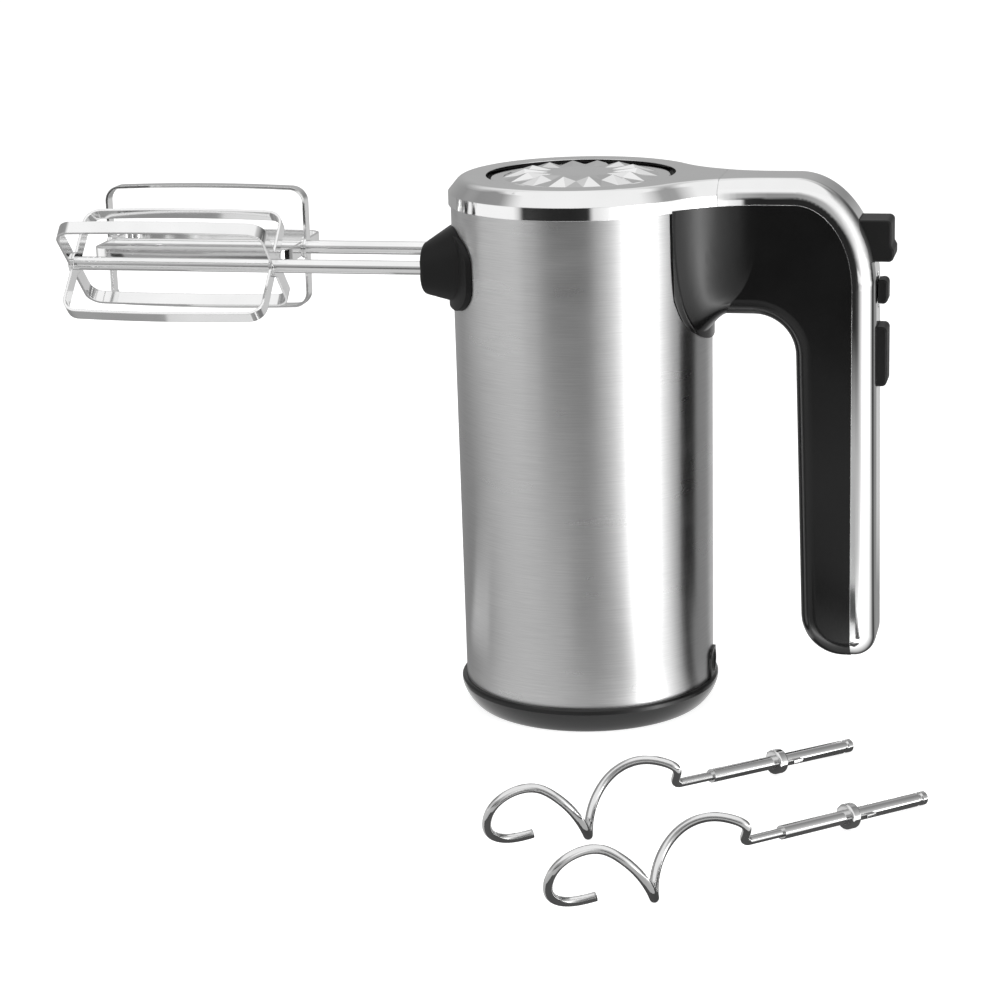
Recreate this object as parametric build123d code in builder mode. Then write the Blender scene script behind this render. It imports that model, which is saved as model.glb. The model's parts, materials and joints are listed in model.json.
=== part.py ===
from build123d import *
import os
from math import asin, atan, cos, degrees, pi, radians, sin, sqrt, tan

# Body: a slim steel drum that stands on its heel, +X is the handle side, -X the beater side
body_height = 196.8
body_radius = 47.0
body_taper = 0.85
base_height = 9.0
cap_height = 9.75
sleeve_wall = 0.8
liner_wall = 2.0

# Handle: a hook-shaped grip with a bright cover along its back
grip_gap = 31.0
grip_depth = 20.5
trim_depth = 8.0
handle_width = 28.0
handle_length = 174.3
arm_depth = 48.6
shell_wall = 3.0
trim_wall = 2.0

# Beaters and dough hooks
beater_spacing = 40.0
beater_drop = 31.7
beater_reach = 141.0
cage_length = 79.0
cage_radius = 23.5
strip_width = 5.0
strip_thickness = 1.0
shaft_diameter = 5.0
hook_radius = 10.1
hook_pitch = 52.7
hook_wire = 3.0
hook_shank = 66.0

# Drive: a two-start worm between two wheels
worm_starts = 2
wheel_teeth = 30
worm_radius = 5.0
wheel_width = 7.0
motor_shaft_radius = 3.0
armature_radius = 16.0
stack_height = 32.0
stator_side = 56.0

# Strokes of the controls
eject_travel = 7.0
speed_travel = 3.5
turbo_travel = 2.5

# Clearances
running_gap = 0.05
slide_gap = 0.3
seat_gap = 0.1

# Heights of the body
sleeve_foot = base_height
sleeve_top = body_height - cap_height
beater_z = body_height - beater_drop
foot_radius = body_radius - body_taper
shaft_radius = shaft_diameter / 2
axle_y = beater_spacing / 2

# Lines of the handle, seen from the side
handle_half = handle_width / 2
neck_x = body_radius + 4.7
finger_x = body_radius + grip_gap
seam_x = finger_x + grip_depth
back_x = seam_x + trim_depth
roof_z = body_height - arm_depth
grip_foot = body_height - handle_length
arm_top = sleeve_top + 0.8
bend_drop = 0.8 * arm_depth
bend_z = body_height - bend_drop
grip_lean = 0.13 * grip_depth
bevel_in = 0.31 * handle_half
bevel_down = 0.53 * cap_height

# Flare of the neck in plan: an arc that touches the rim of the cap and the side of the handle
cap_overhang = 0.8
cap_radius = body_radius + cap_overhang
flare_end = neck_x + 17.0
flare_radius = (flare_end**2 + handle_half**2 - cap_radius**2) / (2 * (cap_radius - handle_half))
flare_turn = asin((handle_half + flare_radius) / (cap_radius + flare_radius))
flare_root = cap_radius * cos(flare_turn)


def sleeve_radius(z):
    """Outer radius of the steel sleeve at height z."""
    return body_radius - body_taper * (sleeve_top - z) / (sleeve_top - sleeve_foot)


def liner_bore(z):
    """Inner radius of the plastic liner at height z."""
    return sleeve_radius(z) - sleeve_wall - seat_gap - liner_wall


def facing_x(x, y=0.0, z=0.0):
    """Plane across the X axis, its sketch axes along +Y and +Z."""
    return Plane(origin=(x, y, z), x_dir=(0, 1, 0), z_dir=(1, 0, 0))


def level(z, x=0.0, y=0.0):
    """Horizontal plane at height z."""
    return Plane(origin=(x, y, z), x_dir=(1, 0, 0), z_dir=(0, 0, 1))


def side_on(y=0.0):
    """Upright plane along the handle, its sketch axes along +X and +Z."""
    return Plane(origin=(0, y, 0), x_dir=(1, 0, 0), z_dir=(0, -1, 0))


def corner(sketch, x, y):
    """Vertex of a sketch nearest to a point of its plane."""
    return sketch.vertices().sort_by_distance((x, y, 0))[0]


def body_core(gap):
    """Cone that fills the sleeve and the foot of the cap, larger than the sleeve by a gap."""
    with BuildPart() as core:
        with BuildSketch(side_on()):
            with BuildLine():
                Polyline(
                    (0, sleeve_foot),
                    (foot_radius + gap, sleeve_foot),
                    (body_radius + gap, sleeve_top),
                    (body_radius + gap, arm_top + 1),
                    (0, arm_top + 1),
                    close=True,
                )
            make_face()
        revolve(axis=Axis.Z)
    return core.part


def flare_half(x):
    """Half width of the neck at a place between the rim of the cap and the end of the flare."""
    way = max(flare_end - x, 0)
    return handle_half + flare_radius - sqrt(flare_radius**2 - way**2)


def flare_arc(start_x, end_x, side):
    """Arc of the flare between two places, on the +Y side for side +1."""
    middle_x = (start_x + end_x) / 2
    return ThreePointArc(
        (start_x, side * flare_half(start_x)),
        (middle_x, side * flare_half(middle_x)),
        (end_x, side * flare_half(end_x)),
    )


# Openings in sleeve and liner
spigot_half_y = axle_y + 6.5
spigot_half_z = 8.0
rod_z = body_height - 22.2
window_half_y = 9.0
window_foot = rod_z - 8.0
window_head = sleeve_top - 4.0
cord_z = base_height + 6.4
cord_radius = 3.2
bush_radius = cord_radius + 1.0
bush_flange = bush_radius + 1.4
tab_top = cord_z + bush_radius + 0.8
tab_half = bush_radius + 1.2
tab_depth = 1.0

with BuildPart() as steel_sleeve:
    with BuildSketch(side_on()):
        with BuildLine():
            Polyline(
                (foot_radius - sleeve_wall, sleeve_foot),
                (foot_radius, sleeve_foot),
                (body_radius, sleeve_top),
                (body_radius - sleeve_wall, sleeve_top),
                close=True,
            )
        make_face()
    revolve(axis=Axis.Z)
    with BuildSketch(facing_x(0, 0, beater_z)):
        RectangleRounded(2 * (spigot_half_y + seat_gap), 2 * (spigot_half_z + seat_gap), spigot_half_z - 1)
    extrude(amount=-body_radius - 1, mode=Mode.SUBTRACT)
    with BuildSketch(facing_x(0, 0, (window_foot + window_head) / 2)):
        Rectangle(2 * window_half_y, window_head - window_foot)
    extrude(amount=body_radius + 1, mode=Mode.SUBTRACT)
    with BuildSketch(facing_x(0, 0, cord_z)):
        Circle(bush_radius + seat_gap)
    extrude(amount=body_radius + 1, mode=Mode.SUBTRACT)

with BuildPart() as liner:
    with BuildSketch(side_on()):
        with BuildLine():
            Polyline(
                (liner_bore(sleeve_foot), sleeve_foot),
                (liner_bore(sleeve_foot) + liner_wall, sleeve_foot),
                (liner_bore(sleeve_top) + liner_wall, sleeve_top),
                (liner_bore(sleeve_top), sleeve_top),
                close=True,
            )
        make_face()
    revolve(axis=Axis.Z)
    with BuildSketch(facing_x(0, 0, beater_z)):
        RectangleRounded(2 * (spigot_half_y + seat_gap), 2 * (spigot_half_z + seat_gap), spigot_half_z - 1)
    extrude(amount=-body_radius - 1, mode=Mode.SUBTRACT)
    with BuildSketch(facing_x(0, 0, (window_foot + window_head) / 2)):
        Rectangle(2 * window_half_y, window_head - window_foot)
    extrude(amount=body_radius + 1, mode=Mode.SUBTRACT)
    with BuildSketch(facing_x(0, 0, cord_z)):
        Circle(bush_radius + seat_gap)
    extrude(amount=body_radius + 1, mode=Mode.SUBTRACT)

# Heel: a dished cup with a bead round the foot of the sleeve and a tab for the cord
bead_radius = foot_radius + 1.8
heel_ring = foot_radius - 3.3
floor_top = 3.7
dish_depth = 1.2
spigot_radius = liner_bore(sleeve_foot) - seat_gap
leg_circle = 0.72 * foot_radius

with BuildPart() as base_cap:
    with BuildSketch(side_on()):
        with BuildLine():
            Bezier(
                (heel_ring, 0),
                (heel_ring + 1.4, 0.08 * base_height),
                (bead_radius - 0.6, 0.5 * base_height),
                (bead_radius, 0.88 * base_height),
            )
            Polyline(
                (bead_radius, 0.88 * base_height),
                (bead_radius, base_height + 0.3),
                (bead_radius - 0.6, base_height + 0.9),
                (foot_radius + running_gap, base_height + 0.9),
                (foot_radius + running_gap, base_height),
                (spigot_radius, base_height),
                (spigot_radius, base_height + 4),
                (spigot_radius - 2, base_height + 4),
                (spigot_radius - 2, floor_top),
                (0, floor_top),
                (0, dish_depth),
                (heel_ring - 5, dish_depth),
                (heel_ring - 4, 0),
                (heel_ring, 0),
            )
        make_face()
    revolve(axis=Axis.Z)
    with BuildSketch(level(base_height)):
        Circle(sleeve_radius(tab_top) + tab_depth)
        Circle(sleeve_radius(tab_top) + running_gap, mode=Mode.SUBTRACT)
        with Locations((body_radius, 0)):
            Rectangle(body_radius, 2 * tab_half, mode=Mode.INTERSECT)
    extrude(amount=tab_top - base_height)
    tab_edges = base_cap.edges().filter_by(Axis.X).group_by(Axis.Z)[-1]
    fillet(tab_edges, 3)
    with BuildSketch(level(0)):
        with PolarLocations(0.5 * foot_radius, 12, start_angle=15):
            SlotOverall(0.34 * foot_radius, 3.2)
    extrude(amount=floor_top + 1, mode=Mode.SUBTRACT)
    with BuildSketch(level(0)):
        with PolarLocations(leg_circle, 3):
            Circle(1.7)
    extrude(amount=floor_top + 1, mode=Mode.SUBTRACT)
    with BuildSketch(level(dish_depth)):
        with PolarLocations(leg_circle, 3):
            Circle(3.4)
    extrude(amount=1.4, mode=Mode.SUBTRACT)
    with BuildSketch(facing_x(0, 0, cord_z)):
        Circle(bush_radius + seat_gap)
    extrude(amount=2 * body_radius, mode=Mode.SUBTRACT)
    with BuildSketch(facing_x(0, 0, cord_z)):
        Circle(bush_flange + seat_gap)
    extrude(amount=liner_bore(cord_z), mode=Mode.SUBTRACT)

with BuildPart() as cord_bush:
    with BuildSketch(side_on()):
        with BuildLine():
            Polyline(
                (liner_bore(cord_z) - 2.2, cord_z + cord_radius),
                (sleeve_radius(cord_z) + tab_depth, cord_z + cord_radius),
                (sleeve_radius(cord_z) + tab_depth, cord_z + bush_radius),
                (liner_bore(cord_z) - 0.7, cord_z + bush_radius),
                (liner_bore(cord_z) - 0.7, cord_z + bush_flange),
                (liner_bore(cord_z) - 2.2, cord_z + bush_flange),
                close=True,
            )
        make_face()
    revolve(axis=Axis((0, 0, cord_z), (1, 0, 0)))

# Cap: a bright lid with a neck that meets the cover of the handle
cap_wall = 2.6
cap_roll = 0.45 * cap_height
disc_radius = 0.694 * body_radius
disc_gap = 1.5
disc_depth = 2.0
collar_half = cap_radius * sin(flare_turn)

with BuildPart() as nose_cap:
    with BuildSketch(level(sleeve_top)):
        with BuildLine():
            CenterArc((0, 0), cap_radius, degrees(flare_turn), 360 - 2 * degrees(flare_turn))
            flare_arc(flare_root, neck_x, -1)
            Line((neck_x, -flare_half(neck_x)), (neck_x, flare_half(neck_x)))
            flare_arc(neck_x, flare_root, 1)
        make_face()
    extrude(amount=cap_height)
    lid = nose_cap.faces().sort_by(Axis.Z)[-1]
    rim = lid.edges().filter_by(lambda edge: edge.center().X < neck_x - 0.1)
    chamfer(rim, length=bevel_in, length2=bevel_down, reference=lid)
    shoulder = nose_cap.faces().sort_by(Axis.Z)[-1].edges()
    fillet(shoulder.filter_by(lambda edge: edge.center().X < neck_x - 0.1), cap_roll)
    with BuildSketch(level(sleeve_top)):
        Circle(cap_radius - cap_wall)
        with Locations((neck_x / 2 + 1, 0)):
            Rectangle(neck_x + 2, 2 * (handle_half - bevel_in - 0.8))
    extrude(amount=cap_height - 3.8, mode=Mode.SUBTRACT)
    with BuildSketch(level(sleeve_top)):
        with Locations((body_radius, 0)):
            Rectangle(body_radius, 2 * collar_half)
        Circle(body_radius, mode=Mode.SUBTRACT)
    extrude(amount=arm_top - sleeve_top, mode=Mode.SUBTRACT)
    with BuildSketch(level(body_height - disc_depth)):
        Circle(disc_radius + disc_gap)
    extrude(amount=disc_depth + 1, mode=Mode.SUBTRACT)

disc_sides = 28
facet_rise = 1.6
disc_floor = body_height - disc_depth
crown_foot = body_height - 1.0
crown_rise = body_height + facet_rise - crown_foot


def crown_ring(share, rises, offset):
    """Corners of the facetted crown at a share of the disc's radius, high and low in turn."""
    step = 360 / disc_sides
    radius = share * disc_radius
    corners = []
    for index in range(disc_sides):
        turn = radians((index + offset) * step)
        rise = rises[index % 2] * crown_rise
        corners.append((radius * cos(turn), radius * sin(turn), crown_foot + rise))
    return corners


crown_rings = (
    crown_ring(0.86, (0, 0), 0),
    crown_ring(0.62, (1.0, 0.4), 0.5),
    crown_ring(0.35, (0.6, 0.6), 0),
)
crown_faces = [
    Face(Wire.make_polygon(crown_rings[0], close=True)),
    Face(Wire.make_polygon(crown_rings[2], close=True)),
]
for lower, upper, lead_in in ((crown_rings[0], crown_rings[1], 1), (crown_rings[1], crown_rings[2], 0)):
    for index in range(disc_sides):
        after = (index + 1) % disc_sides
        near_upper = upper[index] if lead_in else upper[after]
        next_lower = lower[after]
        crown_faces.append(Face(Wire.make_polygon((lower[index], next_lower, near_upper), close=True)))
        far_upper = upper[after]
        low_corner = next_lower if lead_in else lower[index]
        crown_faces.append(Face(Wire.make_polygon((upper[index], far_upper, low_corner), close=True)))
crown = Solid(Shell(crown_faces))

with BuildPart() as nose_disc:
    with BuildSketch(level(disc_floor)):
        Circle(disc_radius)
    extrude(amount=crown_foot - disc_floor)
    fillet(nose_disc.edges().group_by(Axis.Z)[-1], 0.7)
    add(crown)

# Black handle: shield-shaped collar, flare, arm and grip in one hollow moulding
collar_foot = sleeve_top - arm_depth - 0.2
under_round = roof_z - collar_foot
flare_sink = 0.15


def shield(half, head, foot, fullness):
    """Outline with a straight head and two full curves that meet at the foot."""
    drop = (head - foot) * fullness
    with BuildLine() as outline:
        Line((-half, head), (half, head))
        Bezier((half, head), (half, head - drop), (half * fullness, foot), (0, foot))
        Bezier((0, foot), (-half * fullness, foot), (-half, head - drop), (-half, head))
    return outline.edges()


with BuildPart() as collar_flange:
    with BuildSketch(facing_x(0)):
        make_face(shield(collar_half, arm_top, collar_foot, 0.75))
    extrude(amount=2 * body_radius)
    add(body_core(cap_overhang), mode=Mode.INTERSECT)
    add(body_core(running_gap), mode=Mode.SUBTRACT)



def flare_section(x):
    """Outline of the flare across the arm, its foot on a quarter arc between drum and arm."""
    inside = max(body_radius - x, 0)
    reach = min(max(body_radius + under_round - x, 0), under_round)
    foot = collar_foot - 0.3 * inside + 1.03 * sqrt(under_round**2 - reach**2)
    fullness = 0.9 + 0.1 * min(max(x - body_radius, 0) / (0.7 * under_round), 1)
    return shield(flare_half(x) - flare_sink, arm_top, foot, fullness)


flare_steps = 6
with BuildPart() as collar_flare:
    for step in range(flare_steps + 1):
        place = flare_root + (flare_end + 1 - flare_root) * step / flare_steps
        with BuildSketch(facing_x(place)):
            make_face(flare_section(place))
    loft()
    add(body_core(running_gap), mode=Mode.SUBTRACT)

roof_round = 0.48 * grip_gap
foot_round = 0.75 * grip_depth
with BuildPart() as grip_bar:
    with BuildSketch(side_on()) as grip_side:
        with BuildLine():
            Line((neck_x, arm_top), (finger_x, arm_top))
            EllipticalCenterArc((finger_x, bend_z), seam_x - finger_x, arm_top - bend_z, arc_size=90)
            Polyline(
                (seam_x, bend_z),
                (seam_x, grip_foot),
                (finger_x + grip_lean, grip_foot),
                (finger_x, roof_z),
                (neck_x, roof_z),
                (neck_x, arm_top),
            )
        make_face()
        fillet(corner(grip_side, finger_x + grip_lean, grip_foot), foot_round)
        fillet(corner(grip_side, finger_x, roof_z), roof_round)
    extrude(amount=handle_half, both=True)
    finger_edges = grip_bar.edges().filter_by(
        lambda edge: abs(abs(edge.center().Y) - handle_half) < 0.01
        and edge.center().Z < arm_top - 0.5
        and neck_x + 0.1 < edge.center().X < seam_x - 0.5
        and not (edge.center().Z > bend_z and edge.center().X > finger_x)
    )
    fillet(finger_edges, 0.43 * handle_half)

rod_radius = 2.5
guide_x = neck_x + 9
board_x = finger_x + 0.6 * grip_depth
board_foot = grip_foot + 88
board_head = rod_z - 9
cavity_half = handle_half - 2.5
with BuildPart() as handle_shell:
    add(collar_flange.part)
    add(collar_flare.part)
    add(grip_bar.part)
    with BuildSketch(side_on()) as cavity_side:
        with BuildLine():
            Polyline(
                (0.9 * body_radius, window_head),
                (neck_x, window_head),
                (neck_x, arm_top + 1),
                (seam_x + 1, arm_top + 1),
                (seam_x + 1, grip_foot + shell_wall),
                (finger_x + grip_lean + shell_wall, grip_foot + shell_wall),
                (finger_x + shell_wall, roof_z + shell_wall),
                (neck_x, roof_z + shell_wall),
                (neck_x, window_foot),
                (0.9 * body_radius, window_foot),
                close=True,
            )
        make_face()
        fillet(corner(cavity_side, finger_x + grip_lean + shell_wall, grip_foot + shell_wall), foot_round - 3)
        fillet(corner(cavity_side, finger_x + shell_wall, roof_z + shell_wall), roof_round - 3)
    extrude(amount=min(cavity_half, window_half_y), both=True, mode=Mode.SUBTRACT)
    with BuildSketch(facing_x(guide_x, 0, (roof_z + sleeve_top) / 2)):
        Rectangle(2 * window_half_y, arm_depth - cap_height - 1)
        with Locations((0, rod_z - (roof_z + sleeve_top) / 2)):
            Circle(rod_radius + slide_gap, mode=Mode.SUBTRACT)
    extrude(amount=2.5)
    for ledge_z in (board_foot, board_head - 2):
        with BuildSketch(level(ledge_z)):
            with Locations(((finger_x + board_x) / 2 + 1, 0)):
                Rectangle(board_x - finger_x - 2, 2 * window_half_y)
        extrude(amount=2)

# Bright cover along the back of arm and grip
trim_round = trim_depth
trim_roll = 0.86 * trim_depth
eject_head = body_height - 14.9
eject_foot = eject_head - 14.7
speed_head = eject_foot - 6.7
speed_foot = speed_head - 9.2
turbo_head = speed_foot - 7.7
turbo_foot = turbo_head - 21.5
eject_half = 8.0
speed_half = 4.5
turbo_half = 6.0
stem_half = 2.0
stem_rise = 2.5
speed_z = (speed_head + speed_foot) / 2
turbo_z = (turbo_head + turbo_foot) / 2
eject_z = (eject_head + eject_foot) / 2

with BuildPart() as handle_trim:
    with BuildSketch(side_on()) as trim_side:
        with BuildLine():
            Line((neck_x + running_gap, body_height), (finger_x, body_height))
            EllipticalCenterArc((finger_x, bend_z), back_x - finger_x, bend_drop, arc_size=90)
            Polyline(
                (back_x, bend_z),
                (back_x + 1, grip_foot),
                (seam_x, grip_foot),
                (seam_x, bend_z),
            )
            EllipticalCenterArc((finger_x, bend_z), seam_x - finger_x, arm_top - bend_z, arc_size=90)
            Polyline(
                (finger_x, arm_top),
                (neck_x + running_gap, arm_top),
                (neck_x + running_gap, body_height),
            )
        make_face()
        fillet(corner(trim_side, back_x + 1, grip_foot), trim_round)
    extrude(amount=handle_width, both=True)
    with BuildSketch(level(0)):
        with BuildLine():
            Line((neck_x, -flare_half(neck_x)), (neck_x, flare_half(neck_x)))
            flare_arc(neck_x, flare_end, 1)
            Polyline(
                (flare_end, handle_half),
                (2 * back_x, handle_half),
                (2 * back_x, -handle_half),
                (flare_end, -handle_half),
            )
            flare_arc(flare_end, neck_x, -1)
        make_face()
    extrude(amount=2 * body_height, mode=Mode.INTERSECT)
    bend_middle = bend_z + 0.7 * (bend_drop - cap_height / 2)
    outer_edges = handle_trim.edges().filter_by(
        lambda edge: abs(edge.center().Y) > handle_half - 0.01
        and (edge.center().Z > body_height - 0.1
             or edge.center().Z < grip_foot + 0.1
             or edge.center().X > seam_x + 0.6 * trim_depth
             or (edge.center().X > finger_x + 1 and edge.center().Z > bend_middle))
    )
    fillet(outer_edges, trim_roll)
    with BuildSketch(side_on()) as hollow_side:
        with BuildLine():
            Line((neck_x - 1, body_height - trim_wall), (finger_x, body_height - trim_wall))
            EllipticalCenterArc(
                (finger_x, bend_z),
                back_x - finger_x - trim_wall,
                bend_drop - trim_wall,
                arc_size=90,
            )
            Polyline(
                (back_x - trim_wall, bend_z),
                (back_x - trim_wall, grip_foot + trim_round),
                (seam_x - 1, grip_foot + trim_round),
                (seam_x - 1, bend_z),
            )
            EllipticalCenterArc((finger_x, bend_z), seam_x - 1 - finger_x, arm_top - 1 - bend_z, arc_size=90)
            Polyline(
                (finger_x, arm_top - 1),
                (neck_x - 1, arm_top - 1),
                (neck_x - 1, body_height - trim_wall),
            )
        make_face()
    extrude(amount=handle_half - bevel_in - 0.8, both=True, mode=Mode.SUBTRACT)
    with BuildSketch(facing_x(seam_x - 10, 0, eject_z)):
        Rectangle(2 * (eject_half + slide_gap), eject_head - eject_foot + 2 * slide_gap)
    extrude(amount=trim_depth + 20, mode=Mode.SUBTRACT)
    with BuildSketch(facing_x(seam_x, 0, speed_z)):
        Rectangle(2 * (stem_half + slide_gap), 2 * (stem_rise + speed_travel + slide_gap))
    extrude(amount=trim_depth + 10, mode=Mode.SUBTRACT)
    with BuildSketch(facing_x(seam_x, 0, turbo_z)):
        Rectangle(2 * (turbo_half + slide_gap), turbo_head - turbo_foot + 2 * slide_gap)
    extrude(amount=trim_depth + 10, mode=Mode.SUBTRACT)

# Sizes of the drive: worm, wheels and the plates that carry them
wheel_radius = axle_y - worm_radius
module = 2 * wheel_radius / wheel_teeth
tooth_top = 0.85 * module
tooth_root = 1.2 * module
tooth_play = 0.16 * module
flank = 0.36
lead = worm_starts * pi * module
helix_tilt = atan(lead / (2 * pi * worm_radius))
wheel_twist = degrees(wheel_width * tan(helix_tilt) / wheel_radius)
hub_radius = shaft_radius + 3.5
journal_radius = shaft_radius + 2.5
plate_inner = max(wheel_width / 2, worm_radius + tooth_top) + 2 * slide_gap
plate_outer = plate_inner + 3
hub_front = plate_outer + 12.0
ear_half = shaft_radius + 1.5
ear_thickness = 1.2
ear_x = hub_front - 6.5
tail_x = plate_outer + 2.5

# Controls on the back of the handle
button_x = back_x + 3.7
button_round = 1.8
button_edge = 0.7


def outer_edges_of(button, half):
    """Edges of a control's two sides that lie outside the handle."""
    return button.edges().filter_by(
        lambda edge: abs(abs(edge.center().Y) - half) < 0.01 and edge.center().X > back_x + 1.2
    )


with BuildPart() as eject_button:
    with BuildSketch(side_on()) as eject_side:
        with BuildLine():
            Polyline(
                (seam_x - 4, eject_foot),
                (button_x + 2.2, eject_foot),
                (button_x + 2.2, eject_foot + 4.0),
                (button_x + 1.3, eject_foot + 5.6),
                (button_x + 1.3, eject_head),
                (seam_x - 4, eject_head),
                close=True,
            )
        make_face()
        fillet(corner(eject_side, button_x + 2.2, eject_foot), button_round)
        fillet(corner(eject_side, button_x + 1.3, eject_head), button_round)
    extrude(amount=eject_half, both=True)
    fillet(outer_edges_of(eject_button, eject_half), button_edge)

fork_x = tail_x + 8.0
prong_radius = shaft_radius - 0.4
with BuildPart() as ejector_fork:
    with BuildSketch(facing_x(fork_x, 0, beater_z)):
        Rectangle(beater_spacing + 5, 6)
        with Locations((0, (rod_z - beater_z) / 2 + 1)):
            Rectangle(8, rod_z - beater_z + 6)
    extrude(amount=3)
    with BuildSketch(facing_x(fork_x, 0, beater_z)):
        with Locations((axle_y, 0), (-axle_y, 0)):
            Circle(prong_radius)
    extrude(amount=tail_x + slide_gap - fork_x)

collar_x = guide_x + 16
with BuildPart() as ejector_rod:
    with BuildSketch(facing_x(fork_x + 3, 0, rod_z)):
        Circle(rod_radius)
    extrude(amount=seam_x - 4 - fork_x - 3)
    with BuildSketch(facing_x(collar_x, 0, rod_z)):
        Circle(rod_radius + 2)
    extrude(amount=1.5)

with BuildPart() as eject_spring:
    with BuildSketch(facing_x(guide_x + 2.5, 0, rod_z)):
        Circle(rod_radius + 1.5)
        Circle(rod_radius + 0.5, mode=Mode.SUBTRACT)
    extrude(amount=collar_x - guide_x - 2.5)

with BuildPart() as speed_knob:
    with BuildSketch(side_on()) as speed_side:
        with BuildLine():
            Polyline(
                (back_x + slide_gap, speed_foot + 0.5),
                (button_x, speed_foot),
                (button_x, speed_head),
                (back_x + slide_gap, speed_head - 0.5),
                close=True,
            )
        make_face()
        fillet(corner(speed_side, button_x, speed_foot), button_round)
        fillet(corner(speed_side, button_x, speed_head), button_round)
    extrude(amount=speed_half, both=True)
    fillet(outer_edges_of(speed_knob, speed_half), button_edge)
    with BuildSketch(facing_x(back_x - trim_wall - 3, 0, speed_z)):
        Rectangle(2 * stem_half, 2 * stem_rise)
    extrude(amount=trim_wall + 3 + slide_gap + 0.5)
    with BuildSketch(facing_x(back_x - trim_wall - slide_gap - 1.2, 0, speed_z)):
        Rectangle(2 * stem_half + 5, 2 * stem_rise)
    extrude(amount=1.2)

with BuildPart() as switch_board:
    with BuildSketch(facing_x(board_x, 0, (board_foot + board_head) / 2)):
        Rectangle(2 * window_half_y - 0.4, board_head - board_foot)
    extrude(amount=1.6)

with BuildPart() as speed_switch:
    with BuildSketch(facing_x(board_x + 1.6, 0, speed_z)):
        Rectangle(12, 16)
    extrude(amount=back_x - trim_wall - 3 - slide_gap - board_x - 1.6)

with BuildPart() as turbo_button:
    with BuildSketch(side_on()) as turbo_side:
        with BuildLine():
            Polyline(
                (back_x - 5, turbo_foot),
                (button_x, turbo_foot),
                (button_x, turbo_head),
                (back_x - 5, turbo_head),
                close=True,
            )
        make_face()
        fillet(corner(turbo_side, button_x, turbo_foot), button_round)
        fillet(corner(turbo_side, button_x, turbo_head), button_round)
    extrude(amount=turbo_half, both=True)
    fillet(outer_edges_of(turbo_button, turbo_half), button_edge)
    with BuildSketch(facing_x(back_x - trim_wall - slide_gap - 1.3, 0, turbo_z)):
        Rectangle(2 * turbo_half + 2, turbo_head - turbo_foot + 3)
    extrude(amount=1.3)

switch_top = back_x - 5 - turbo_travel - slide_gap
with BuildPart() as turbo_switch:
    with BuildSketch(facing_x(board_x + 1.6, 0, turbo_z - 4)):
        Rectangle(7, 12)
    extrude(amount=switch_top - board_x - 1.6)

with BuildPart() as turbo_spring:
    with BuildSketch(facing_x(board_x + 1.6, 0, turbo_z + 7)):
        Circle(2.4)
        Circle(1.7, mode=Mode.SUBTRACT)
    extrude(amount=back_x - 5 - board_x - 1.6)

# Beater socket: a rounded pad on the drum with a tapered nose
boss_half_y = 0.70 * body_radius
boss_half_z = 13.5
boss_z = beater_z - 1.1
nose_x = -body_radius - 7.7
with BuildPart() as boss_pad:
    with BuildSketch(facing_x(0, 0, boss_z)):
        RectangleRounded(2 * boss_half_y, 2 * boss_half_z, 0.72 * boss_half_z)
    extrude(amount=-2 * body_radius)
    add(body_core(1.6), mode=Mode.INTERSECT)
    add(body_core(running_gap), mode=Mode.SUBTRACT)

with BuildPart() as boss_nose:
    with BuildSketch(facing_x(-0.77 * body_radius, 0, beater_z + 2.4)):
        RectangleRounded(2 * (axle_y + 9), 34, 14)
    with BuildSketch(facing_x(nose_x, 0, beater_z - 0.6)):
        RectangleRounded(2 * (axle_y + 5), 18.0, 8)
    loft()
    fillet(boss_nose.faces().sort_by(Axis.X)[0].edges(), 2.2)
    add(body_core(running_gap), mode=Mode.SUBTRACT)

socket_radius = shaft_radius + 2.1
with BuildPart() as beater_boss:
    add(boss_pad.part)
    add(boss_nose.part)
    with BuildSketch(facing_x(-liner_bore(beater_z) + 7, 0, beater_z)):
        RectangleRounded(2 * spigot_half_y, 2 * spigot_half_z, spigot_half_z - 1)
    extrude(amount=-7.5 - liner_wall - sleeve_wall)
    with BuildSketch(facing_x(0, 0, beater_z)):
        with Locations((axle_y, 0), (-axle_y, 0)):
            Circle(socket_radius)
    extrude(amount=-2 * body_radius, mode=Mode.SUBTRACT)

def tooth_ring(turn):
    """Outline of the wheel, a gap between two teeth lies on the sketch's x axis when turn is zero."""
    step = 360 / wheel_teeth
    top = degrees((pi / 4 * module - tooth_play - tooth_top * flank) / (wheel_radius + tooth_top))
    foot = degrees((pi / 4 * module - tooth_play + tooth_root * flank) / (wheel_radius - tooth_root))
    points = []
    for tooth in range(wheel_teeth):
        middle = turn + (tooth + 0.5) * step
        for radius, angle in (
            (wheel_radius - tooth_root, middle - foot),
            (wheel_radius + tooth_top, middle - top),
            (wheel_radius + tooth_top, middle + top),
            (wheel_radius - tooth_root, middle + foot),
        ):
            points.append((radius * cos(radians(angle)), radius * sin(radians(angle))))
    with BuildLine() as outline:
        Polyline(*points, close=True)
    return outline.edges()


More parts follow.
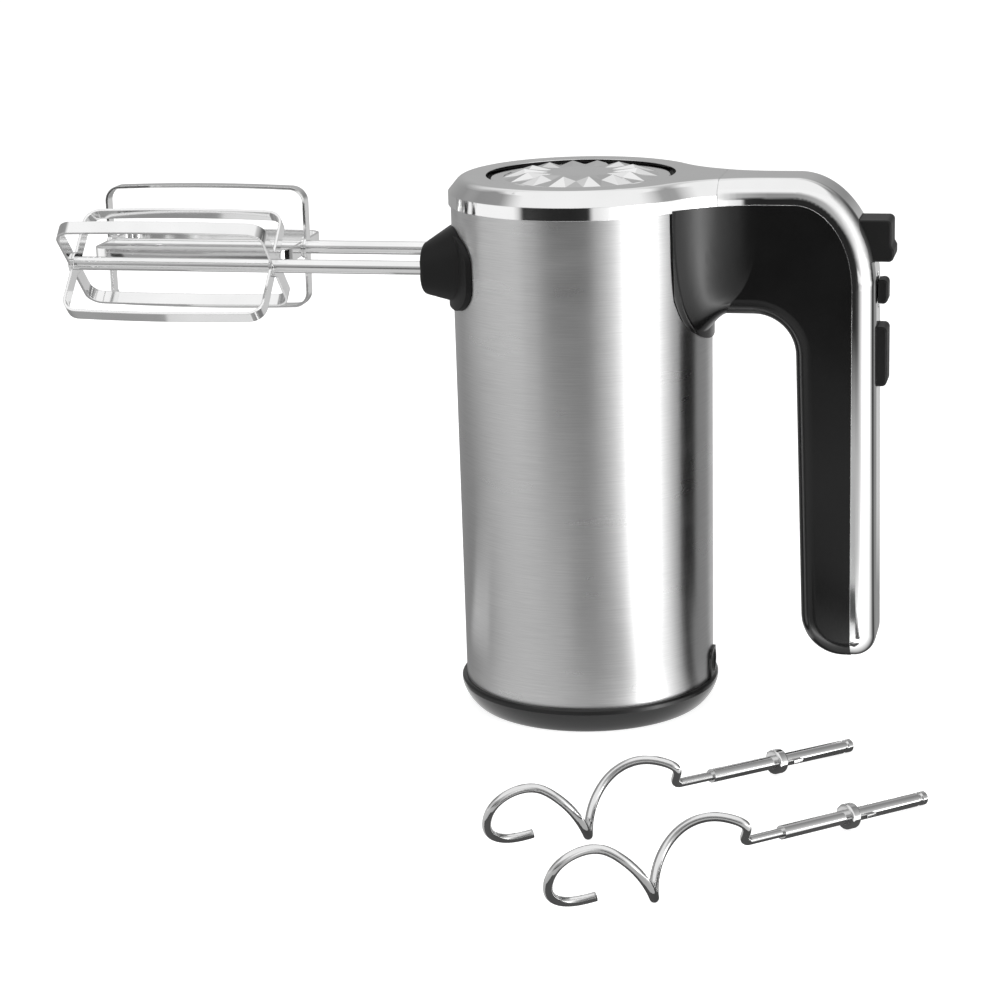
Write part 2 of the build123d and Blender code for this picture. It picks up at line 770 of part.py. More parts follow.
def worm_wheel(side):
    """Wheel on the -Y axle for side -1 and on the +Y axle for side +1."""
    toward_worm = 90 + 90 * side
    with BuildPart() as wheel:
        for share in (-0.5, 0, 0.5):
            with BuildSketch(facing_x(share * wheel_width, side * axle_y, beater_z)):
                make_face(tooth_ring(toward_worm + share * wheel_twist))
        loft(ruled=True)
        with BuildSketch(facing_x(-plate_inner + slide_gap, side * axle_y, beater_z)):
            Circle(hub_radius + 2)
        extrude(amount=2 * (plate_inner - slide_gap))
        with BuildSketch(facing_x(-hub_front, side * axle_y, beater_z)):
            Circle(hub_radius)
        extrude(amount=hub_front)
        with BuildSketch(facing_x(0, side * axle_y, beater_z)):
            Circle(journal_radius)
        extrude(amount=plate_outer + 0.5)
        with BuildSketch(facing_x(-hub_front - 1, side * axle_y, beater_z)):
            Circle(shaft_radius + running_gap)
        extrude(amount=hub_front + plate_outer + 2, mode=Mode.SUBTRACT)
        with BuildSketch(facing_x(-hub_front - 1, side * axle_y, beater_z)):
            Rectangle(2 * hub_radius + 1, ear_thickness + 0.2)
        extrude(amount=1 + hub_front - ear_x + slide_gap, mode=Mode.SUBTRACT)
    return wheel.part


wheel_front = worm_wheel(-1)
wheel_rear = worm_wheel(1)

# Motor and worm on one upright shaft
case_floor = beater_z - 22.0
case_plate = 4.0
shaft_foot = base_height + 23.0
shaft_head = sleeve_top - 2.5
bracket_z = base_height + 26.0
commutator_height = 11.0
commutator_foot = case_floor - 6.0 - commutator_height
stack_head = commutator_foot - 8.5
stack_foot = stack_head - stack_height
fan_z = bracket_z + 10
worm_half = 0.6 * wheel_radius

with BuildPart() as motor_shaft:
    with BuildSketch(level(shaft_foot)):
        Circle(motor_shaft_radius)
    extrude(amount=shaft_head - shaft_foot)

thread_top = worm_radius + tooth_top
thread_foot = worm_radius - tooth_root
crest_turn = 360 / lead * (pi / 4 * module - tooth_play - tooth_top * flank)
root_turn = 360 / lead * (pi / 4 * module - tooth_play + tooth_root * flank)
thread_turns = 2 * worm_half / lead


def at_turn(radius, turn):
    """Point of a level sketch at a radius and a turn in degrees."""
    return (radius * cos(radians(turn)), radius * sin(radians(turn)))


with BuildSketch(level(beater_z - worm_half)) as worm_section:
    with BuildLine():
        for begin in range(worm_starts):
            crest = -90 - 180 * thread_turns + 360 / worm_starts * begin
            after = crest + 360 / worm_starts
            middle_radius = (thread_top + thread_foot) / 2
            middle_turn = (crest_turn + root_turn) / 2
            ThreePointArc(
                at_turn(thread_top, crest - crest_turn),
                at_turn(thread_top, crest),
                at_turn(thread_top, crest + crest_turn),
            )
            ThreePointArc(
                at_turn(thread_top, crest + crest_turn),
                at_turn(middle_radius, crest + middle_turn),
                at_turn(thread_foot, crest + root_turn),
            )
            ThreePointArc(
                at_turn(thread_foot, crest + root_turn),
                at_turn(thread_foot, (crest + after) / 2),
                at_turn(thread_foot, after - root_turn),
            )
            ThreePointArc(
                at_turn(thread_foot, after - root_turn),
                at_turn(middle_radius, after - middle_turn),
                at_turn(thread_top, after - crest_turn),
            )
    make_face()

twisted_thread = Solid.extrude_linear_with_rotation(
    worm_section.sketch.faces()[0],
    center=(0, 0, beater_z - worm_half),
    normal=(0, 0, 2 * worm_half),
    angle=360 * thread_turns,
)
with BuildPart() as worm:
    add(twisted_thread)
    with BuildSketch(level(beater_z - worm_half)):
        Circle(motor_shaft_radius)
    extrude(amount=2 * worm_half, mode=Mode.SUBTRACT)

with BuildPart() as armature_stack:
    with BuildSketch(level(stack_foot)):
        Circle(armature_radius)
        with PolarLocations(armature_radius - 2, 12):
            Rectangle(5, 2.4, mode=Mode.SUBTRACT)
        Circle(motor_shaft_radius, mode=Mode.SUBTRACT)
    extrude(amount=stack_height)

with BuildPart() as armature_windings:
    with BuildSketch(side_on()):
        with BuildLine():
            Polyline(
                (motor_shaft_radius + 1, stack_head),
                (armature_radius - 2, stack_head),
                (armature_radius - 3, stack_head + 5),
                (motor_shaft_radius + 3, stack_head + 8),
                (motor_shaft_radius + 1, stack_head + 8),
                close=True,
            )
        make_face()
        with BuildLine():
            Polyline(
                (motor_shaft_radius + 1, stack_foot),
                (armature_radius - 2, stack_foot),
                (armature_radius - 3, stack_foot - 5),
                (motor_shaft_radius + 3, stack_foot - 7),
                (motor_shaft_radius + 1, stack_foot - 7),
                close=True,
            )
        make_face()
    revolve(axis=Axis.Z)

commutator_radius = 9.0
with BuildPart() as commutator:
    with BuildSketch(level(commutator_foot)):
        Circle(commutator_radius)
        with PolarLocations(commutator_radius, 12):
            Rectangle(1.6, 0.5, mode=Mode.SUBTRACT)
        Circle(motor_shaft_radius, mode=Mode.SUBTRACT)
    extrude(amount=commutator_height)

fan_radius = 0.5 * foot_radius
with BuildPart() as cooling_fan:
    with BuildSketch(level(fan_z)):
        Circle(motor_shaft_radius + 4)
    extrude(amount=9)
    with BuildSketch(level(fan_z)):
        with PolarLocations(fan_radius / 2 + 2, 8):
            Rectangle(fan_radius - 4, 1.4)
    extrude(amount=8)
    with BuildSketch(level(fan_z)):
        Circle(fan_radius)
    extrude(amount=1.4)
    with BuildSketch(level(fan_z)):
        Circle(motor_shaft_radius)
    extrude(amount=9, mode=Mode.SUBTRACT)

bolt_place = 0.43 * stator_side
coil_x = 0.3 * stator_side
coil_y = 0.36 * stator_side
with BuildPart() as stator_stack:
    with BuildSketch(level(stack_foot)):
        RectangleRounded(stator_side, stator_side, 7)
        Circle(armature_radius + 0.5, mode=Mode.SUBTRACT)
        with GridLocations(2 * coil_x, 2 * coil_y, 2, 2):
            Rectangle(8.4, 6.4, mode=Mode.SUBTRACT)
        with GridLocations(2 * bolt_place, 2 * bolt_place, 2, 2):
            Circle(2 + seat_gap, mode=Mode.SUBTRACT)
    extrude(amount=stack_height)

with BuildPart() as field_coils:
    for side in (-1, 1):
        with BuildSketch(side_on(side * coil_y + 3)):
            with Locations((0, (stack_foot + stack_head) / 2)):
                RectangleRounded(2 * coil_x + 8, stack_height + 13, 5)
                Rectangle(2 * coil_x - 8, stack_height + 2 * seat_gap, mode=Mode.SUBTRACT)
        extrude(amount=6)

bush_height = 7.0
with BuildPart() as lower_bracket:
    with BuildSketch(level(bracket_z)):
        Circle(liner_bore(bracket_z) - seat_gap)
        with PolarLocations(0.52 * foot_radius, 4):
            RectangleRounded(0.42 * foot_radius, 0.5 * foot_radius, 4, mode=Mode.SUBTRACT)
    extrude(amount=4)
    with BuildSketch(level(bracket_z - 2)):
        Circle(10)
    extrude(amount=bush_height + 1)
    with BuildSketch(level(floor_top)):
        with PolarLocations(leg_circle, 3):
            Circle(4.2)
    extrude(amount=bracket_z - floor_top)
    with BuildSketch(level(bracket_z - 3)):
        with GridLocations(2 * bolt_place, 2 * bolt_place, 2, 2):
            Circle(4.5)
    extrude(amount=7)
    with BuildSketch(level(bracket_z - 3)):
        Circle(motor_shaft_radius + 3)
        with GridLocations(2 * bolt_place, 2 * bolt_place, 2, 2):
            Circle(2 + seat_gap)
    extrude(amount=bush_height + 5, mode=Mode.SUBTRACT)
    with BuildSketch(level(floor_top)):
        with PolarLocations(leg_circle, 3):
            Circle(1.35)
    extrude(amount=10, mode=Mode.SUBTRACT)

with BuildPart() as lower_bearing:
    with BuildSketch(level(bracket_z - 2)):
        Circle(motor_shaft_radius + 3)
        Circle(motor_shaft_radius + running_gap, mode=Mode.SUBTRACT)
    extrude(amount=bush_height)

case_half = axle_y + wheel_radius + 2.6
case_head = shaft_head - 0.5
with BuildPart() as gear_case:
    with BuildSketch(level(case_floor)):
        Circle(liner_bore(case_floor) - seat_gap)
    extrude(amount=case_plate)
    with BuildSketch(facing_x(plate_inner)):
        with Locations((0, (case_floor + case_head) / 2)):
            RectangleRounded(2 * case_half, case_head - case_floor, 3)
    extrude(amount=3)
    with BuildSketch(level(case_head - 3)):
        Rectangle(2 * plate_outer, 0.8 * case_half)
    extrude(amount=3)
    with BuildSketch(level(case_floor - 3)):
        Circle(10)
    extrude(amount=3)
    with BuildSketch(facing_x(0, 0, beater_z)):
        with Locations((axle_y, 0), (-axle_y, 0)):
            Circle(journal_radius + running_gap)
    extrude(amount=plate_outer + 1, mode=Mode.SUBTRACT)
    with BuildSketch(level(case_floor - 4)):
        Circle(motor_shaft_radius + 3)
        with GridLocations(2 * bolt_place, 2 * bolt_place, 2, 2):
            Circle(2 + seat_gap)
    extrude(amount=case_plate + 5, mode=Mode.SUBTRACT)
    with BuildSketch(level(case_floor)):
        Circle(motor_shaft_radius + running_gap)
    extrude(amount=case_head - case_floor + 1, mode=Mode.SUBTRACT)
    with BuildSketch(facing_x(-plate_inner)):
        with Locations((0, (case_floor + case_head) / 2 + case_plate)):
            Rectangle(2 * body_radius, case_head - case_floor)
    extrude(amount=-plate_outer, mode=Mode.SUBTRACT)

with BuildPart() as gear_cover:
    with BuildSketch(facing_x(-plate_outer)):
        with Locations((0, (case_floor + case_plate + case_head) / 2)):
            RectangleRounded(2 * case_half, case_head - case_floor - case_plate, 3)
        with Locations((axle_y, beater_z), (-axle_y, beater_z)):
            Circle(hub_radius + running_gap, mode=Mode.SUBTRACT)
    extrude(amount=plate_outer - plate_inner)

with BuildPart() as upper_bearing:
    with BuildSketch(level(case_floor - 3)):
        Circle(motor_shaft_radius + 3)
        Circle(motor_shaft_radius + running_gap, mode=Mode.SUBTRACT)
    extrude(amount=bush_height)

brush_z = commutator_foot + commutator_height / 2
with BuildPart() as brush_holders:
    for side in (-1, 1):
        with BuildSketch(facing_x(side * (commutator_radius + 3), 0, (brush_z - 5 + case_floor) / 2)):
            Rectangle(10, case_floor - brush_z + 5)
            with Locations((0, brush_z - (brush_z - 5 + case_floor) / 2)):
                Rectangle(6 + 2 * seat_gap, 5 + 2 * seat_gap, mode=Mode.SUBTRACT)
        extrude(amount=side * 15)

with BuildPart() as carbon_brushes:
    for side in (-1, 1):
        with BuildSketch(facing_x(side * (commutator_radius + seat_gap), 0, brush_z)):
            Rectangle(6, 5)
        extrude(amount=side * 14)

with BuildPart() as motor_bolts:
    with BuildSketch(level(bracket_z - 3)):
        with GridLocations(2 * bolt_place, 2 * bolt_place, 2, 2):
            Circle(2)
    extrude(amount=case_floor + case_plate - bracket_z + 3)
    with BuildSketch(level(bracket_z - 6)):
        with GridLocations(2 * bolt_place, 2 * bolt_place, 2, 2):
            Circle(3.6)
    extrude(amount=3)

with BuildPart() as base_screws:
    with BuildSketch(level(dish_depth + 0.2)):
        with PolarLocations(leg_circle, 3):
            Circle(3.1)
    extrude(amount=1.2)
    with BuildSketch(level(dish_depth + 1)):
        with PolarLocations(leg_circle, 3):
            Circle(1.3)
    extrude(amount=10)

# Beaters: a shaft with ears, a stop collar and two nested strip loops
ear_length = 4.0
collar_width = 4.0
collar_radius = shaft_radius + 1.75
tip_x = -body_radius - beater_reach
root_x = tip_x + cage_length
loop_round = 6.0
loop_bow = 0.9


def drive_shaft(radius, length):
    """Shaft along -X from its tail at the origin, with a groove at the tail and two drive ears."""
    with BuildPart() as shaft:
        with BuildSketch(side_on()):
            with BuildLine():
                Polyline(
                    (0, 0),
                    (0, radius - 0.7),
                    (-0.7, radius),
                    (-2.6, radius),
                    (-3.0, radius - 0.5),
                    (-4.2, radius - 0.5),
                    (-4.6, radius),
                    (-length, radius),
                    (-length, 0),
                    close=True,
                )
            make_face()
        revolve(axis=Axis.X)
        with BuildSketch(facing_x(-tail_x - ear_x - ear_length)):
            Rectangle(2 * ear_half, ear_thickness)
        extrude(amount=ear_length)
    return shaft.part


def stop_collar(radius):
    """Ring pressed on a shaft behind its ears, the tail at the origin."""
    with BuildPart() as ring:
        with BuildSketch(facing_x(-tail_x - hub_front - slide_gap)):
            Circle(collar_radius)
            Circle(radius, mode=Mode.SUBTRACT)
        extrude(amount=-collar_width)
        fillet(ring.edges().filter_by(GeomType.CIRCLE).sort_by(SortBy.RADIUS)[-2:], 0.8)
    return ring.part


def cage_loop(inset, turn):
    """Closed loop of flat strip round the beater axis, its plane turned about the axis."""
    near = root_x - inset
    far = tip_x + inset
    end_half = cage_radius - loop_bow
    with BuildPart() as loop:
        with BuildSketch(side_on()) as outline:
            with BuildLine():
                Line((far, -end_half), (far, end_half))
                ThreePointArc((far, end_half), ((near + far) / 2, cage_radius), (near, end_half))
                Line((near, end_half), (near, -end_half))
                ThreePointArc((near, -end_half), ((near + far) / 2, -cage_radius), (far, -end_half))
            make_face()
            fillet(outline.vertices(), loop_round)
            offset(amount=-strip_thickness, mode=Mode.SUBTRACT)
        extrude(amount=strip_width / 2, both=True)
        for eye_x in (far, near - strip_thickness):
            with BuildSketch(facing_x(eye_x)):
                Circle(shaft_radius + 1.6)
            extrude(amount=strip_thickness)
        with BuildSketch(facing_x(far - 1)):
            Circle(shaft_radius)
        extrude(amount=near - far + 2, mode=Mode.SUBTRACT)
    return Rot(X=turn) * loop.part


def at_axle(piece, side):
    """Piece of a beater moved on to its axle."""
    return Pos(0, side * axle_y, beater_z) * piece


beater_shaft = Pos(tail_x, 0, 0) * drive_shaft(shaft_radius, tail_x - tip_x + 0.8)
beater_collar = Pos(tail_x, 0, 0) * stop_collar(shaft_radius)
nest = strip_thickness + 0.02
front_turn = 45
rear_turn = 0

# Dough hooks lie on the table in front of the drum
sleeve_radius_hook = shaft_radius - 0.2
wire_radius = hook_wire / 2
wire_foot = 0.83 * hook_shank
bend_at = 1.21 * hook_shank
helix_at = bend_at + 1.29 * hook_radius
hook_turns = 0.96

with BuildPart() as hook_sleeve:
    add(drive_shaft(sleeve_radius_hook, hook_shank))
    with BuildSketch(facing_x(-hook_shank)):
        Circle(wire_radius)
    extrude(amount=hook_shank - wire_foot, mode=Mode.SUBTRACT)


def hook_point(angle):
    """Centre of the hook's wire at a turn about the hook's axis, zero at the first crest."""
    along = -helix_at - hook_pitch * angle / 360
    return (along, hook_radius * sin(radians(angle)), hook_radius * cos(radians(angle)))


def curl_point(pitches, across, rise):
    """Point of the curl at the end of the wire, in pitches beyond the first crest and in hook radii."""
    return Vector(-helix_at - pitches * hook_pitch, across * hook_radius, rise * hook_radius)


first_turn = -35
turn_steps = 14
turn_step = (360 * hook_turns - first_turn) / turn_steps
curl_foot = curl_point(1.0, 0.837, -0.97)
curl_tip = curl_point(0.884, 0.376, -0.78)
tip_way = (curl_tip - curl_point(0.935, 0.648, -0.93)).normalized()
with BuildPart() as hook_rod:
    with BuildLine():
        Line((-wire_foot, 0, 0), (-bend_at, 0, 0))
        Spline(
            (-bend_at, 0, 0),
            (-bend_at - 0.38 * hook_radius, -0.18 * hook_radius, 0.22 * hook_radius),
            *[hook_point(first_turn + step * turn_step) for step in range(turn_steps + 1)],
            curl_point(1.21, 0.33, 0.43),
            curl_point(1.21, 0.625, -0.19),
            curl_point(1.126, 0.87, -0.75),
            curl_foot,
            curl_tip,
            tangents=((-1, 0, 0), tip_way),
            tangent_scalars=(1, 1),
        )
    with BuildSketch(facing_x(-wire_foot)):
        Circle(wire_radius)
    sweep(transition=Transition.ROUND)

hook_collar = stop_collar(sleeve_radius_hook)
trough = helix_at + hook_pitch / 2
hook_tilt = degrees(asin((hook_radius + wire_radius - sleeve_radius_hook) / trough))


def laid_down(piece, x, y, heading):
    """Piece of a dough hook on the table, the tail at x, y and the hook's axis at a heading."""
    return Pos(x, y, sleeve_radius_hook + 0.1) * Rot(Z=heading) * Rot(Y=hook_tilt) * piece


front_hook = (2.804 * body_radius, -2.026 * body_radius, 50.7)
rear_hook = (2.18 * body_radius, -1.036 * body_radius, 50.5)

pieces = {
    "steel_sleeve": steel_sleeve.part,
    "liner": liner.part,
    "base_cap": base_cap.part,
    "cord_bush": cord_bush.part,
    "nose_cap": nose_cap.part,
    "nose_disc": nose_disc.part,
    "handle_shell": handle_shell.part,
    "handle_trim": handle_trim.part,
    "eject_button": eject_button.part,
    "ejector_rod": ejector_rod.part,
    "ejector_fork": ejector_fork.part,
    "eject_spring": eject_spring.part,
    "speed_knob": speed_knob.part,
    "speed_switch": speed_switch.part,
    "switch_board": switch_board.part,
    "turbo_button": turbo_button.part,
    "turbo_switch": turbo_switch.part,
    "turbo_spring": turbo_spring.part,
    "beater_boss": beater_boss.part,
    "wheel_front": wheel_front,
    "wheel_rear": wheel_rear,
    "motor_shaft": motor_shaft.part,
    "worm": worm.part,
    "armature_stack": armature_stack.part,
    "armature_windings": armature_windings.part,
    "commutator": commutator.part,
    "cooling_fan": cooling_fan.part,
    "stator_stack": stator_stack.part,
    "field_coils": field_coils.part,
    "lower_bracket": lower_bracket.part,
    "lower_bearing": lower_bearing.part,
    "gear_case": gear_case.part,
    "gear_cover": gear_cover.part,
    "upper_bearing": upper_bearing.part,
    "brush_holders": brush_holders.part,
    "carbon_brushes": carbon_brushes.part,
    "motor_bolts": motor_bolts.part,
    "base_screws": base_screws.part,
    "beater_front_shaft": at_axle(beater_shaft, -1),
    "beater_front_collar": at_axle(beater_collar, -1),
    "beater_front_loop_outer": at_axle(cage_loop(0, front_turn), -1),
    "beater_front_loop_inner": at_axle(cage_loop(nest, front_turn + 90), -1),
    "beater_rear_shaft": at_axle(beater_shaft, 1),
    "beater_rear_collar": at_axle(beater_collar, 1),
    "beater_rear_loop_outer": at_axle(cage_loop(0, rear_turn), 1),
    "beater_rear_loop_inner": at_axle(cage_loop(nest, rear_turn + 90), 1),
    "hook_front_sleeve": laid_down(hook_sleeve.part, *front_hook),
    "hook_front_collar": laid_down(hook_collar, *front_hook),
    "hook_front_wire": laid_down(hook_rod.part, *front_hook),
    "hook_rear_sleeve": laid_down(hook_sleeve.part, *rear_hook),
    "hook_rear_collar": laid_down(hook_collar, *rear_hook),
    "hook_rear_wire": laid_down(hook_rod.part, *rear_hook),
}

os.makedirs("parts", exist_ok=True)
for name, piece in pieces.items():
    piece.label = name
    export_step(piece, "parts/" + name + ".step")
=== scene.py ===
import json
import math

import bpy
from mathutils import Matrix, Vector


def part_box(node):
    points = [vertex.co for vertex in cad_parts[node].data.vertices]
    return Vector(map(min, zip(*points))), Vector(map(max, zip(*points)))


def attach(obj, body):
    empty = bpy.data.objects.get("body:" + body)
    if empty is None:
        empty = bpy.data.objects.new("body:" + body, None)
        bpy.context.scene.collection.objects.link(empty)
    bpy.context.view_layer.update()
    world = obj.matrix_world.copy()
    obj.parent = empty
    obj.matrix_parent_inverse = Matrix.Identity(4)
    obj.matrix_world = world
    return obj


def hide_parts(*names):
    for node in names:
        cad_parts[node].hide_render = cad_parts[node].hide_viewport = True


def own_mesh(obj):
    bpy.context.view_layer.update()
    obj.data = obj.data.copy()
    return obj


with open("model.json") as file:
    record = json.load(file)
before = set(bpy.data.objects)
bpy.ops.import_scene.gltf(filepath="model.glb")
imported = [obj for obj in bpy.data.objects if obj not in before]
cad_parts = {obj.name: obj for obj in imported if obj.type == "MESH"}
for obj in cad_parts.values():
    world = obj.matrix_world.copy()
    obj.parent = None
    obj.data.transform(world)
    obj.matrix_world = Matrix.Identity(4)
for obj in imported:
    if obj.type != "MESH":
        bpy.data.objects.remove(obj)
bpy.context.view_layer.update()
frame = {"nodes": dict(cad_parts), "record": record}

nodes = frame["nodes"]
scene = bpy.context.scene


# Node helpers


class Tree:
    """A material with its Principled shader and a few short ways to add nodes."""

    def __init__(self, name, material=None):
        self.material = material or bpy.data.materials.new(name)
        self.material.use_nodes = True
        self.nodes = self.material.node_tree.nodes
        self.links = self.material.node_tree.links
        self.shader = self.nodes["Principled BSDF"]

    def add(self, kind, **values):
        """A node of a kind, with values for its inputs by name or for its own settings."""
        node = self.nodes.new("ShaderNode" + kind)
        for key, value in values.items():
            if hasattr(node, key):
                setattr(node, key, value)
            else:
                node.inputs[key.replace("_", " ").title()].default_value = value
        return node

    def link(self, source, target):
        self.links.new(source, target)

    def place(self, scale):
        """Object coordinates of the piece, stretched by a scale on each axis."""
        coordinates = self.add("TexCoord")
        mapping = self.add("Mapping", Scale=scale)
        self.link(coordinates.outputs["Object"], mapping.inputs["Vector"])
        return mapping.outputs["Vector"]

    def around(self, per_turn, per_metre):
        """Coordinates wound round the Z axis: the turn about it and the height."""
        coordinates = self.add("TexCoord")
        split = self.add("SeparateXYZ")
        self.link(coordinates.outputs["Object"], split.inputs[0])
        turn = self.add("Math", operation="ARCTAN2")
        self.link(split.outputs["Y"], turn.inputs[0])
        self.link(split.outputs["X"], turn.inputs[1])
        joined = self.add("CombineXYZ")
        self.link(turn.outputs[0], joined.inputs["X"])
        self.link(split.outputs["Z"], joined.inputs["Y"])
        mapping = self.add("Mapping", Scale=(per_turn, per_metre, 1))
        self.link(joined.outputs[0], mapping.inputs["Vector"])
        return mapping.outputs["Vector"]

    def noise(self, vector, scale, detail=3.0, roughness=0.5):
        texture = self.add("TexNoise", Scale=scale, Detail=detail, Roughness=roughness)
        self.link(vector, texture.inputs["Vector"])
        return texture.outputs["Fac"]

    def tint(self, value, low, high, start=0.3, stop=0.7):
        """Base colour between two shades, driven by a value."""
        ramp = self.add("ValToRGB")
        ramp.color_ramp.elements[0].position = start
        ramp.color_ramp.elements[1].position = stop
        ramp.color_ramp.elements[0].color = (*low, 1)
        ramp.color_ramp.elements[1].color = (*high, 1)
        self.link(value, ramp.inputs[0])
        self.link(ramp.outputs[0], self.shader.inputs["Base Color"])
        return ramp.outputs[0]

    def gloss(self, value, low, high):
        """Roughness between two limits, driven by a value."""
        spread = self.add("MapRange")
        spread.inputs["From Min"].default_value = 0.25
        spread.inputs["From Max"].default_value = 0.75
        spread.inputs["To Min"].default_value = low
        spread.inputs["To Max"].default_value = high
        self.link(value, spread.inputs["Value"])
        self.link(spread.outputs[0], self.shader.inputs["Roughness"])

    def relief(self, value, depth, strength=1.0, edge=0.0):
        """Bump of a depth in metres, on edges that are softened by a radius."""
        bump = self.add("Bump", Strength=strength, Distance=depth)
        self.link(value, bump.inputs["Height"])
        if edge:
            soft = self.add("Bevel", samples=4, Radius=edge)
            self.link(soft.outputs[0], bump.inputs["Normal"])
        self.link(bump.outputs[0], self.shader.inputs["Normal"])

    def set(self, **values):
        """Fixed values on the shader's own sockets."""
        for key, value in values.items():
            self.shader.inputs[key.replace("_", " ")].default_value = value

    def under(self, measure, limit):
        """One where a measure is under a limit, else zero."""
        test = self.add("Math", operation="LESS_THAN")
        test.inputs[1].default_value = limit
        self.link(measure, test.inputs[0])
        return test.outputs[0]

    def blend(self, share, first, second):
        """A colour that goes from the first to the second by a share."""
        mix = self.add("Mix", data_type="RGBA")
        sockets = {socket.identifier: socket for socket in mix.inputs}
        self.link(share, sockets["Factor_Float"])
        self.link(first, sockets["A_Color"])
        self.link(second, sockets["B_Color"])
        return {socket.identifier: socket for socket in mix.outputs}["Result_Color"]

    def level_length(self, split):
        """Distance from the Z axis, from split coordinates."""
        across = self.add("CombineXYZ")
        self.link(split.outputs["X"], across.inputs["X"])
        self.link(split.outputs["Y"], across.inputs["Y"])
        length = self.add("VectorMath", operation="LENGTH")
        self.link(across.outputs[0], length.inputs[0])
        return length.outputs["Value"]

    def show(self, surface):
        """Puts a shader other than the Principled one on the surface."""
        self.link(surface, self.nodes["Material Output"].inputs["Surface"])


def grey(level):
    return (level, level, level)


# Materials

# Radii that soften edges, and the groove round the disc in the cap, where shade is painted near black into the
# metal's colour
metal_edge = 0.0003
beater_edge = 0.0004
hook_edge = 0.0002
plastic_edge = 0.0004
groove_radius = 0.03415
groove_top = 0.1966
cap_shades = (grey(0.84), grey(0.89))
cap_roughness = (0.05, 0.09)


def brushed_steel(name):
    """Steel sheet brushed round the drum."""
    tree = Tree(name)
    lines = tree.noise(tree.around(3.0, 2600.0), 1.0, detail=4.0, roughness=0.7)
    broad = tree.noise(tree.around(1.2, 90.0), 1.0, detail=2.0)
    tree.tint(lines, grey(0.60), grey(0.74), 0.25, 0.75)
    tree.gloss(broad, 0.26, 0.32)
    tree.relief(lines, 0.00001, 0.35)
    tangent = tree.add("Tangent", direction_type="RADIAL", axis="Z")
    tree.link(tangent.outputs[0], tree.shader.inputs["Tangent"])
    tree.set(Metallic=1.0, Anisotropic=0.8, Anisotropic_Rotation=0.25)
    return tree.material


def polished_metal(name, low, high, rough_low, rough_high, edge=metal_edge):
    """Bright metal with a faint haze and hairline polishing marks."""
    tree = Tree(name)
    place = tree.place((1, 1, 1))
    haze = tree.noise(place, 45.0, detail=2.0)
    marks = tree.noise(tree.place((60, 900, 900)), 1.0, detail=2.0)
    tree.tint(haze, low, high)
    tree.gloss(haze, rough_low, rough_high)
    tree.relief(marks, 0.000002, 0.15, edge)
    tree.set(Metallic=1.0)
    return tree.material


def metal_with_painted_groove_shade(name, low, high, rough_low, rough_high, radius, height):
    """Bright metal with painted black shade in the groove, inside a radius and below a height."""
    material = polished_metal(name, low, high, rough_low, rough_high)
    tree = Tree(name, material)
    bright = tree.shader.inputs["Base Color"].links[0].from_socket
    coordinates = tree.add("TexCoord")
    split = tree.add("SeparateXYZ")
    tree.link(coordinates.outputs["Object"], split.inputs[0])
    painted_shade_mask = tree.add("Math", operation="MULTIPLY")
    tree.link(tree.under(tree.level_length(split), radius), painted_shade_mask.inputs[0])
    tree.link(tree.under(split.outputs["Z"], height), painted_shade_mask.inputs[1])
    # Painted shade: the groove's walls and floor are coloured near black, standing in for the shadow inside
    # the recess
    painted_groove_shade = tree.tint(tree.noise(tree.place((1, 1, 1)), 400.0), grey(0.010), grey(0.020))
    tree.link(tree.blend(painted_shade_mask.outputs[0], bright, painted_groove_shade), tree.shader.inputs["Base Color"])
    return material


def moulded_plastic(name, low, high, rough_low, rough_high, grain, specular=0.5):
    """Moulded plastic with a fine grain, uneven gloss and softened edges."""
    tree = Tree(name)
    place = tree.place((1, 1, 1))
    patches = tree.noise(place, 30.0, detail=3.0)
    pores = tree.noise(place, 2200.0, detail=2.0)
    tree.tint(patches, low, high)
    tree.gloss(patches, rough_low, rough_high)
    tree.relief(pores, grain, 0.5, plastic_edge)
    tree.set(Specular_IOR_Level=specular)
    return tree.material


def plain_metal(name, low, high, rough_low, rough_high, stretch=(200, 200, 900)):
    """Drawn, cast or wound metal inside the drum."""
    tree = Tree(name)
    lines = tree.noise(tree.place(stretch), 1.0, detail=3.0)
    tree.tint(lines, low, high)
    tree.gloss(lines, rough_low, rough_high)
    tree.relief(lines, 0.00002, 0.3)
    tree.set(Metallic=1.0)
    return tree.material


